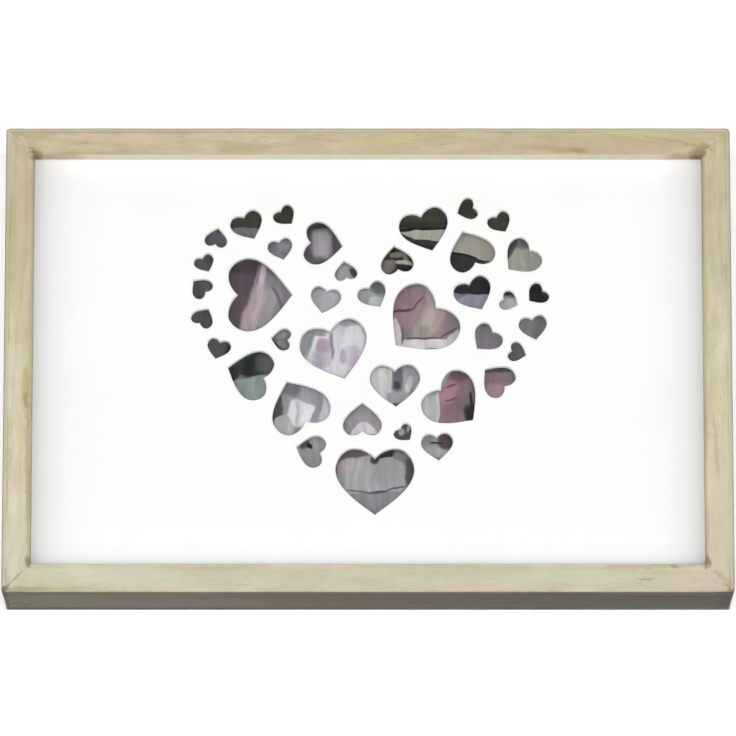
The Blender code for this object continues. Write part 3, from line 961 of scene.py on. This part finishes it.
def grow_wood(bench, plank, inset, z, settings):
    """The colour of the bare wood with its rings, streaks and flecks, their relief, and its noises."""
    noises = {}
    for name, (along, across, layers, strength) in WOOD_NOISES.items():
        place = bench.vector("ADD", plank, OLIVES_SHIFT) if name == "olives" else plank
        noises[name] = bench.cloud(place, (along, across, across), layers, strength)
    faded = {name: bench.fade(noises[name], *ends) for name, ends in WOOD_FADES.items()}

    drift = bench.calc("MULTIPLY", bench.calc("SUBTRACT", noises["wander"], 0.5), RING_DRIFT)
    squares = [
        bench.calc("POWER", bench.calc("ADD", place, shift), 2.0)
        for place, shift in zip((inset, z), TREE_HEART)
    ]
    from_heart = bench.calc("POWER", bench.calc("ADD", *squares), 0.5)
    ring_at = bench.calc("DIVIDE", bench.calc("ADD", from_heart, drift), settings.ring_spacing)
    ring = bench.curve(bench.calc("FRACT", ring_at), RING_TONE)
    ring = bench.calc("MULTIPLY", ring, faded["ring_patches"])

    tone = bench.blend(faded["blushes"], tuple(settings.straw), tuple(settings.blush))
    tone = bench.blend(faded["olives"], tone, tuple(settings.olive))
    tone = bench.stain(tone, ring, tuple(settings.ring), RING_STRENGTH)
    for name in ("streaks", "fibres", "smudges", "mottle"):
        tone = bench.scale(tone, faded[name])
    tone = bench.stain(tone, faded["dashes"], *DASHES)
    tone = bench.stain(tone, faded["flecks"], *FLECKS)
    relief = bench.calc("MULTIPLY", noises["streaks"], 0.5)
    relief = bench.calc("MULTIPLY_ADD", noises["fibres"], 0.5, relief)
    relief = bench.calc("MULTIPLY_ADD", faded["flecks"], -FLECK_DEPTH, relief)
    return tone, relief, noises


def patchy_wear(bench, streaks, wear, start, end, low, high):
    """How worn the wood is along its streaks, on a rail with so much wear."""
    return bench.fade(streaks, start, end, low * wear, high * wear)


def wear_front_edge(bench, tone, inset, z, streaks, wear):
    """Greys the rounded outer front edge, with a fine dark line along its foot."""
    near_front = bench.nearing(z, FRONT, *WEAR_DEPTH)
    worn = bench.calc("MULTIPLY", bench.fade(inset, *WEAR_WIDTH), near_front)
    worn = bench.calc("MULTIPLY", worn, patchy_wear(bench, streaks, wear, *WORN_FADE))
    tone = bench.blend(worn, tone, WORN_WOOD)
    from_foot = bench.calc("ABSOLUTE", bench.calc("SUBTRACT", inset, WEAR_WIDTH[0]))
    crease = bench.calc("MULTIPLY", bench.fade(from_foot, *CREASE_WIDTH), near_front)
    crease = bench.calc("MULTIPLY", crease, patchy_wear(bench, streaks, wear, *CREASE_FADE))
    return bench.blend(crease, tone, CREASE)


def shade_sides(bench, tone, whole, across, inset, z, lower):
    """Darkens the outer sides, the lower one with painted shade that deepens towards its right end, with
    fine lines along the front edge and over the seam of the back board.
    """
    on_side = bench.calc("MULTIPLY", bench.fade(inset, *SIDE_WIDTH), bench.nearing(z, FRONT, *SIDE_DEPTH))
    tints = OTHER_SIDES_TINT
    # painted shade on the lower side, deepening from its left end to its right end
    if lower:
        tints = bench.ramp(bench.span(across, BOX_LOW.x, BOX_HIGH.x), LOWER_SIDE_PAINTED_SHADE)
    side = bench.tint(tone, tints)
    side = bench.scale(side, bench.curve(bench.span(z, RAIL_BOTTOM, FRONT), SIDE_LINES))
    if lower:
        place = bench.node("CombineXYZ", across, z, 0.0).outputs[0]
        for *oblong, ink, strength in LOWER_SIDE_MARKS.values():
            mark = bench.patch(place, *oblong, SIDE_MARK_SOFTNESS, MARK_SQUARENESS)
            side = bench.stain(side, mark, ink, strength)
    specks = bench.fade(bench.cloud(whole, (1100, 1100, 700), 1.0), *SPECK_FADE)
    from_corner = bench.calc("SUBTRACT", BOX_HIGH.x, bench.calc("ABSOLUTE", across))
    specks = bench.calc("MULTIPLY", specks, bench.fade(from_corner, *SPECKLED_END, 0.0, SPECK_STRENGTH))
    return bench.blend(on_side, tone, bench.blend(specks, side, SPECKS))


def shade_inner_edge(bench, tone, inset, z, turn):
    """Paints light on the upper rail's inner face over the board, as the white board casts it, and paints
    shade on the side rails' inner edges and inner faces.
    """
    if turn == LOWER_TURN:
        return tone
    over_board = bench.nearing(z, GROOVE_TOP, *LIP_HEIGHT)
    lip = bench.calc("MULTIPLY", bench.nearing(inset, RAIL_THICKNESS, *LIP_WIDTH), over_board)
    # painted light on the upper rail's inner face, as the white board casts it
    if turn == UPPER_TURN:
        ink, strength = PAINTED_LIP_LIGHT
        return bench.blend(lip, tone, bench.blend(strength, bench.scale(tone, PAINTED_LIP_LIGHT_SCALE), ink))
    # painted shade along the side rails' inner edges and on their inner faces
    inner = bench.nearing(inset, RAIL_THICKNESS, *INNER_EDGE_WIDTH)
    tone = bench.blend(inner, tone, bench.tint(tone, INNER_EDGE_SHADE))
    return bench.blend(lip, tone, bench.scale(tone, SIDE_LIP_SHADE))


def make_wood(name, length_out, reach, turn, seed, wear, settings):
    """Bare pale wood whose grain runs along X, with its marks, worn edges and filler at the mitres, and
    painted light
    and shade: falloff towards the upper edge, shadows in the upper inner corners, light on the upper rail's
    inner face, and shade on the side rails' inner edges and on the lower side.
    """
    bench = Bench(name)
    whole = bench.place()
    x, y, z = bench.axes(whole)
    inset = bench.calc("ADD", y, reach)
    plank = bench.node("CombineXYZ", bench.calc("ADD", x, seed), inset, z).outputs[0]
    laid = bench.turned(whole, -turn)
    across, up, _ = bench.axes(laid)
    tone, relief, noises = grow_wood(bench, plank, inset, z, settings)

    # darker towards the upper edge as painted falloff of the light, and yellower there in the wood's own
    # tone
    tone = bench.tint(tone, bench.ramp(bench.span(up, BOX_LOW.y, BOX_HIGH.y), UPWARD_TINT_AND_FALLOFF))
    tone = wear_front_edge(bench, tone, inset, z, noises["streaks"], wear)
    tone = shade_inner_edge(bench, tone, inset, z, turn)
    # the marks, among them painted shadows in the upper inner corners
    place = bench.vector("ADD", laid, bench.straying(whole, MARK_LUMPS, MARK_STRAYING))
    for *oblong, ink, strength in marks_on(reach, length_out, turn):
        mark = bench.patch(place, *oblong, MARK_SOFTNESS, MARK_SQUARENESS)
        tone = bench.stain(tone, mark, ink, strength)

    # the mitres: filler pressed in here and there, and a fine dark line
    from_end = bench.calc("SUBTRACT", length_out / 2, bench.calc("ABSOLUTE", x))
    from_mitre = bench.calc("SUBTRACT", from_end, inset)
    blots = bench.cloud(whole, (500, 500, 500))
    filler = bench.calc("MULTIPLY", bench.fade(from_mitre, *FILLER_WIDTH), bench.fade(blots, *FILLER_FADE))
    tone = bench.stain(tone, filler, *FILLER)
    grime = bench.calc("MULTIPLY", bench.fade(from_mitre, *GRIME_WIDTH), bench.fade(blots, *GRIME_FADE))
    tone = bench.stain(tone, grime, *GRIME)
    tone = shade_sides(bench, tone, whole, across, inset, z, lower=turn == LOWER_TURN)

    bench.bump(bench.calc("MULTIPLY_ADD", filler, FILLER_HEIGHT, relief), *WOOD_RELIEF)
    matt = settings.roughness
    return bench.finish(tone, bench.fade(noises["fibres"], 0.2, 0.8, matt - 0.08, matt + 0.1), gloss=0.35)


# ---------------------------------------------------------------- heart board


def curve_point(curve, t):
    """A point on a cubic curve given by its four control points."""
    weights = ((1 - t) ** 3, 3 * (1 - t) ** 2 * t, 3 * (1 - t) * t**2, t**3)
    return tuple(sum(w * point[axis] for w, point in zip(weights, curve)) for axis in (0, 1))


def heart_outline(steps):
    """A heart one unit wide, tip down, as points that run from its notch clockwise round to its notch."""
    half = [curve_point(curve, step / steps) for curve in HALF_HEART for step in range(steps)]
    return half + [TIP] + [(-across, up) for across, up in reversed(half[1:])]


def placed_heart(across, up, width, turn):
    """The outline of one opening, in metres from the board's centre."""
    steps = LEAST_STEPS + round(width / WIDTH_FOR_STEP)
    size = width * MILLIMETRE
    middle = Matrix.Translation((across * MILLIMETRE, up * MILLIMETRE, 0))
    place = middle @ Matrix.Rotation(math.radians(turn), 4, "Z")
    return [place @ Vector((x * size, y * size, 0)) for x, y in heart_outline(steps)]


def make_heart_board(material, settings):
    """The white board: one sheet with every opening cut straight through, its front edges eased."""
    bm = bmesh.new()
    edges = add_loop(bm, [Vector((x, y, 0)) for x, y in corners_of(BOARD_LOW, BOARD_HIGH)])
    for group in HEARTS.values():
        for heart in group:
            edges += add_loop(bm, placed_heart(*heart))
    bmesh.ops.translate(bm, vec=(0, 0, BOARD_LOW.z), verts=bm.verts[:])
    bmesh.ops.triangle_fill(bm, use_beauty=True, edges=edges, normal=(0, 0, 1))
    raised = bmesh.ops.extrude_face_region(bm, geom=bm.faces[:])
    verts = [item for item in raised["geom"] if isinstance(item, bmesh.types.BMVert)]
    bmesh.ops.translate(bm, vec=(0, 0, BOARD_HIGH.z - BOARD_LOW.z), verts=verts)
    bmesh.ops.recalc_face_normals(bm, faces=bm.faces[:])
    front = BOARD_HIGH.z - CLOSE
    rims = [
        edge for edge in bm.edges
        if all(vert.co.z > front for vert in edge.verts) and edge.calc_face_angle(0.0) > SHARP_TURN
    ]
    bmesh.ops.bevel(bm, geom=rims, offset=settings.edge_easing, segments=2, profile=0.5, affect="EDGES")
    return make_piece("white_heart_board", bm, material, sharp_angle=20)


def make_white_paint(settings):
    """Matt white paint, rolled thinly, with a faint tooth, painted shade beside the rails, grey eased edges
    round the openings, and painted light on their walls.
    """
    bench = Bench("matt_white_paint")
    whole = bench.place()
    x, y, z = bench.axes(whole)
    tooth = bench.cloud(whole, (1400, 1400, 1400), 3.0, 0.6)
    clouds = bench.cloud(whole, (30, 30, 30))
    tone = bench.scale(tuple(settings.white), bench.fade(clouds, 0.3, 0.7, 0.99, 1.0))
    # painted shade beside the side rails and over the lower one
    from_side = bench.calc("SUBTRACT", BOX_HIGH.x - RAIL_THICKNESS, bench.calc("ABSOLUTE", x))
    tone = bench.tint(tone, bench.ramp(bench.span(from_side, 0.0, SHADE_REACH), SIDE_SHADE))
    from_foot = bench.calc("SUBTRACT", y, BOX_LOW.y + RAIL_THICKNESS)
    tone = bench.tint(tone, bench.ramp(bench.span(from_foot, 0.0, SHADE_REACH), FOOT_SHADE))
    below_front = bench.calc("SUBTRACT", BOARD_HIGH.z, z)
    # grey on each opening's eased front edge
    tone = bench.blend(bench.fade(below_front, *EASED_EDGE_GREY_DEPTH), tone, tuple(settings.eased_edge_grey))
    on_wall = bench.fade(below_front, *WALL_DEPTH)
    tone = bench.blend(on_wall, tone, tuple(settings.wall))
    # painted light: the openings' walls glow, most near the front
    wall_light_mask = bench.calc("MULTIPLY", on_wall, bench.fade(below_front, *PAINTED_WALL_LIGHT_DEPTH, 0.3, 1.0))
    bench.glow(bench.calc("MULTIPLY", wall_light_mask, settings.painted_wall_light))
    bench.bump(tooth, *PAINT_TOOTH)
    matt = settings.roughness
    return bench.finish(tone, bench.fade(tooth, 0.3, 0.7, matt - 0.05, matt + 0.05), gloss=0.3)


# ---------------------------------------------------------------- pane, print and back


def make_clear_pane(settings):
    """Clear float glass, with the faintest unevenness."""
    bench = Bench("clear_glass")
    bench.bump(bench.cloud(bench.place(), (24, 24, 24), 1.0), *GLASS_WAVES)
    bench.shader.inputs["IOR"].default_value = settings.bending
    bench.shader.inputs["Transmission Weight"].default_value = 1.0
    return bench.finish(tuple(settings.tint), settings.roughness)


def make_card(material, settings):
    """The card, with rings of points inside each opening's edge that hold how far each one is from it."""
    bm = bmesh.new()
    inside = bm.verts.layers.float.new("inside")
    corners = corners_of(CARD_LOW, CARD_HIGH)
    edges = add_loop(bm, [Vector((x, y, CARD_HIGH.z)) for x, y in corners])
    foot = [bm.verts.new((x, y, CARD_LOW.z)) for x, y in corners]
    head = bm.verts[:4]
    for index in range(4):
        bm.faces.new((head[index - 1], foot[index - 1], foot[index], head[index]))
    bm.faces.new(foot)
    for across, up, width, turn in (heart for group in HEARTS.values() for heart in group):
        middle = Vector((across * MILLIMETRE, up * MILLIMETRE, CARD_HIGH.z))
        outline = placed_heart(across, up, width, turn)
        outline = [point + Vector((0, 0, CARD_HIGH.z)) for point in outline]
        edges += add_loop(bm, outline)
        ring = bm.verts[-len(outline):]
        for reached in CARD_RINGS:
            shrink = 1 - reached * settings.rim_width / (HEART_REACH * MILLIMETRE * width)
            inner = [bm.verts.new(middle + (point - middle) * shrink) for point in outline]
            for vert in inner:
                vert[inside] = reached
            for index in range(len(inner)):
                bm.faces.new((ring[index - 1], ring[index], inner[index], inner[index - 1]))
            ring = inner
        bm.faces.new(ring)
    bmesh.ops.triangle_fill(bm, use_beauty=True, edges=edges, normal=(0, 0, 1))
    return make_piece("printed_card", bm, material)


def make_print(settings):
    """A soft print of drapes and shadows in greys, mauves and rose, on stiff card, with painted shade under
    the openings' edges.
    """
    bench = Bench("printed_card")
    whole = bench.place()
    z = bench.axes(whole)[2]
    push = bench.straying(whole, PRINT_LUMPS, PRINT_STRAYING, 3.0)
    place = bench.vector("ADD", whole, push)
    tone = tuple(settings.ground)
    for *oblong, softness, ink in PRINT_AREAS.values():
        tone = bench.blend(bench.patch(place, *oblong, softness), tone, ink)

    folds = bench.cloud(bench.vector("ADD", place, push), (260, 34, 0), 3.0, 0.55)
    dark, light = (fold * settings.lightness for fold in PRINT_FOLDS)
    tone = bench.scale(tone, bench.fade(folds, 0.3, 0.7, dark, light))
    # painted shade on the print under each opening's edge
    from_edge = bench.node("Attribute", attribute_type="GEOMETRY", attribute_name="inside").outputs["Fac"]
    rim = [(place_in, 1 - strength * settings.rim_shade) for place_in, strength in RIM_FADE]
    tone = bench.scale(tone, bench.curve(from_edge, rim))
    grain = bench.cloud(whole, (1500, 1500, 0))
    tone = bench.scale(tone, bench.fade(grain, 0.2, 0.8, 0.93, 1.06))
    tone = bench.blend(bench.nearing(z, CARD_HIGH.z, *PRINT_DEPTH), tuple(settings.card), tone)
    bench.bump(grain, *PRINT_TOOTH)
    matt = settings.roughness
    return bench.finish(tone, bench.fade(grain, 0.2, 0.8, matt - 0.04, matt + 0.04), gloss=0.2)


def make_plywood(settings):
    """Thin plywood: a plain veneer on its faces, and its plies along its edges."""
    bench = Bench("plain_plywood")
    whole = bench.place()
    x, y, z = bench.axes(whole)
    figure = bench.cloud(whole, (3.2, 15, 0), 1.0, 0.4)
    wave = bench.calc("FRACT", bench.calc("MULTIPLY_ADD", figure, 11.0, bench.calc("MULTIPLY", y, 9.0)))
    clouds = bench.cloud(whole, (9, 40, 0), 3.0)
    veneer = bench.blend(bench.fade(clouds, 0.35, 0.65), tuple(settings.veneer), PALE_VENEER)
    veneer = bench.stain(veneer, bench.curve(wave, VENEER_TONE), *DARK_VENEER)
    fibres = bench.cloud(whole, (40, 1800, 1800), 3.0, 0.6)
    veneer = bench.scale(veneer, bench.fade(fibres, 0.25, 0.75, 0.92, 1.05))
    thickness = BACK_HIGH.z - BACK_LOW.z
    ply = bench.calc("FRACT", bench.calc("MULTIPLY", z, PLY_PAIRS / thickness))
    core = bench.calc("MULTIPLY", bench.fade(ply, 0.45, 0.55), bench.fade(ply, 1.0, 0.9))
    near_edges = [
        bench.nearing(bench.calc("ABSOLUTE", place), limit, *PLY_EDGE_WIDTH)
        for place, limit in ((x, BOX_HIGH.x), (y, BOX_HIGH.y))
    ]
    on_edge = bench.calc("MAXIMUM", *near_edges)
    tone = bench.blend(bench.calc("MULTIPLY", core, on_edge), veneer, tuple(settings.core))
    tone = bench.blend(on_edge, tone, bench.tint(tone, PLY_EDGE_TINT))
    bench.bump(fibres, *VENEER_RELIEF)
    matt = settings.roughness
    return bench.finish(tone, bench.fade(fibres, 0.2, 0.8, matt - 0.08, matt + 0.08))


# ---------------------------------------------------------------- stage


def make_floor(settings):
    """A wide white floor with a faint tooth, just under the box."""
    bm = bmesh.new()
    bmesh.ops.create_grid(bm, x_segments=4, y_segments=4, size=FLOOR_SIZE)
    bench = Bench("white_floor")
    tooth = bench.cloud(bench.place(), (300, 300, 300))
    bench.bump(tooth, *FLOOR_TOOTH)
    tone = bench.scale(tuple(settings.floor), bench.fade(tooth, 0.3, 0.7, 0.995, 1.0))
    bench.glow(settings.floor_glow)
    floor = make_piece("floor", bm, bench.finish(tone, 0.9))
    floor.location.z = BOX_LOW.z - FLOOR_DROP
    floor.visible_diffuse = False


def add_sun(name, towards, strength, spread):
    """A soft, far light that shines from the given direction, and is so many degrees wide."""
    light = bpy.data.lights.new(name, "SUN")
    light.energy = strength
    light.angle = math.radians(spread)
    lamp = bpy.data.objects.new(name, light)
    lamp.rotation_euler = Vector(towards).to_track_quat("Z", "Y").to_euler()
    bpy.context.scene.collection.objects.link(lamp)
    return lamp


def add_lights(settings):
    """A long soft light over the box, leaning to its lower side, and a low one from the far side."""
    lean = math.radians(KEY_LEAN)
    for number, angle in enumerate(KEY_ANGLES):
        swing = math.radians(angle)
        towards = (math.sin(swing), -math.sin(lean) * math.cos(swing), math.cos(lean) * math.cos(swing))
        weight = KEY_WEIGHT + KEY_GAIN * abs(angle) / KEY_ANGLES[-1]
        strength = weight * settings.key_strength / len(KEY_ANGLES)
        key = add_sun(f"key_{number}", towards, strength, KEY_SPREAD)
        key.visible_glossy = abs(angle) > MIRRORED_BEYOND
    add_sun("rim", RIM_TOWARDS, settings.rim_strength, RIM_SPREAD)


def fill_world(settings):
    """A dim even light from all round, in front of a white ground."""
    world = bpy.data.worlds.new("studio")
    world.use_nodes = True
    bpy.context.scene.world = world
    nodes, links = world.node_tree.nodes, world.node_tree.links
    dim = nodes["Background"]
    dim.inputs["Color"].default_value = WHITE
    dim.inputs["Strength"].default_value = settings.fill_strength
    ground = nodes.new("ShaderNodeBackground")
    ground.inputs["Strength"].default_value = 1.0
    ground.inputs["Color"].default_value = WHITE
    mix = nodes.new("ShaderNodeMixShader")
    links.new(nodes.new("ShaderNodeLightPath").outputs["Is Camera Ray"], mix.inputs[0])
    links.new(dim.outputs[0], mix.inputs[1])
    links.new(ground.outputs[0], mix.inputs[2])
    links.new(mix.outputs[0], nodes["World Output"].inputs["Surface"])


def add_camera(settings):
    """The camera, which looks down on the box from a little past its lower side."""
    camera = bpy.data.cameras.new("camera")
    camera.lens = settings.lens
    camera.sensor_width = SENSOR_WIDTH
    camera.clip_end = CLIP_END
    holder = bpy.data.objects.new("camera", camera)
    back = Vector((0.0, -math.sin(settings.tilt), math.cos(settings.tilt)))
    middle = Vector((0.0, -settings.aim, FRONT))
    holder.location = middle + back * settings.distance
    holder.rotation_euler = back.to_track_quat("Z", "Y").to_euler()
    bpy.context.scene.collection.objects.link(holder)
    bpy.context.scene.camera = holder


# ---------------------------------------------------------------- operators


class BoxOperator(bpy.types.Operator):
    """What the box's operators share."""

    bl_options = {"REGISTER", "UNDO"}


class PHOTO_BOX_OT_rails(BoxOperator):
    """Makes the four finished rails"""

    bl_idname = "photo_box.rails"
    bl_label = "Make rails"

    def execute(self, context):
        settings = context.scene.photo_box_rails
        for name, (length_out, reach, turn, seed, share_of_rounding, wear) in RAILS.items():
            wood = make_wood(f"pale_wood_{name}", length_out, reach, turn, seed, wear, settings)
            rail = make_rail(name, length_out, reach, turn, seed, share_of_rounding, wood, settings)
            settle(rail, name)
        return {"FINISHED"}


class PHOTO_BOX_OT_board(BoxOperator):
    """Makes the white board with its heart-shaped openings"""

    bl_idname = "photo_box.board"
    bl_label = "Make board"

    def execute(self, context):
        settings = context.scene.photo_box_board
        settle(make_heart_board(make_white_paint(settings), settings), "heart_board")
        return {"FINISHED"}


class PHOTO_BOX_OT_pane(BoxOperator):
    """Finishes the clear pane"""

    bl_idname = "photo_box.pane"
    bl_label = "Finish pane"

    def execute(self, context):
        dress("clear_pane", make_clear_pane(context.scene.photo_box_pane))
        return {"FINISHED"}


class PHOTO_BOX_OT_print(BoxOperator):
    """Prints the card behind the pane"""

    bl_idname = "photo_box.print"
    bl_label = "Print card"

    def execute(self, context):
        settings = context.scene.photo_box_print
        settle(make_card(make_print(settings), settings), "picture_card")
        return {"FINISHED"}


class PHOTO_BOX_OT_back(BoxOperator):
    """Finishes the plywood back"""

    bl_idname = "photo_box.back"
    bl_label = "Finish back"

    def execute(self, context):
        dress("back_board", make_plywood(context.scene.photo_box_back))
        return {"FINISHED"}


class PHOTO_BOX_OT_stage(BoxOperator):
    """Sets the floor, the lights and the camera"""

    bl_idname = "photo_box.stage"
    bl_label = "Set stage"

    def execute(self, context):
        settings = context.scene.photo_box_stage
        make_floor(settings)
        add_lights(settings)
        fill_world(settings)
        add_camera(settings)
        context.scene.view_settings.view_transform = "Standard"
        return {"FINISHED"}


OPERATORS = (
    PHOTO_BOX_OT_rails,
    PHOTO_BOX_OT_board,
    PHOTO_BOX_OT_pane,
    PHOTO_BOX_OT_print,
    PHOTO_BOX_OT_back,
    PHOTO_BOX_OT_stage,
)
SETTINGS = {
    "photo_box_rails": RailSettings,
    "photo_box_board": BoardSettings,
    "photo_box_pane": PaneSettings,
    "photo_box_print": PrintSettings,
    "photo_box_back": BackSettings,
    "photo_box_stage": StageSettings,
}


class VIEW3D_PT_photo_box(bpy.types.Panel):
    """Lists the box's settings, each over its button"""

    bl_idname = "VIEW3D_PT_photo_box"
    bl_label = "Photo box"
    bl_space_type = "VIEW_3D"
    bl_region_type = "UI"
    bl_category = "Photo box"

    def draw(self, context):
        for (name, group), operator in zip(SETTINGS.items(), OPERATORS):
            section = self.layout.box()
            for key in group.__annotations__:
                section.prop(getattr(context.scene, name), key)
            section.operator(operator.bl_idname)


def register():
    for group in SETTINGS.values():
        bpy.utils.register_class(group)
    for name, group in SETTINGS.items():
        setattr(bpy.types.Scene, name, PointerProperty(type=group))
    for operator in OPERATORS:
        bpy.utils.register_class(operator)
    bpy.utils.register_class(VIEW3D_PT_photo_box)


def unregister():
    bpy.utils.unregister_class(VIEW3D_PT_photo_box)
    for operator in reversed(OPERATORS):
        bpy.utils.unregister_class(operator)
    for name, group in SETTINGS.items():
        delattr(bpy.types.Scene, name)
        bpy.utils.unregister_class(group)


def main():
    register()
    bpy.ops.photo_box.stage()
    bpy.ops.photo_box.rails()
    bpy.ops.photo_box.board()
    bpy.ops.photo_box.pane()
    bpy.ops.photo_box.print()
    bpy.ops.photo_box.back()


if __name__ == "__main__":
    main()
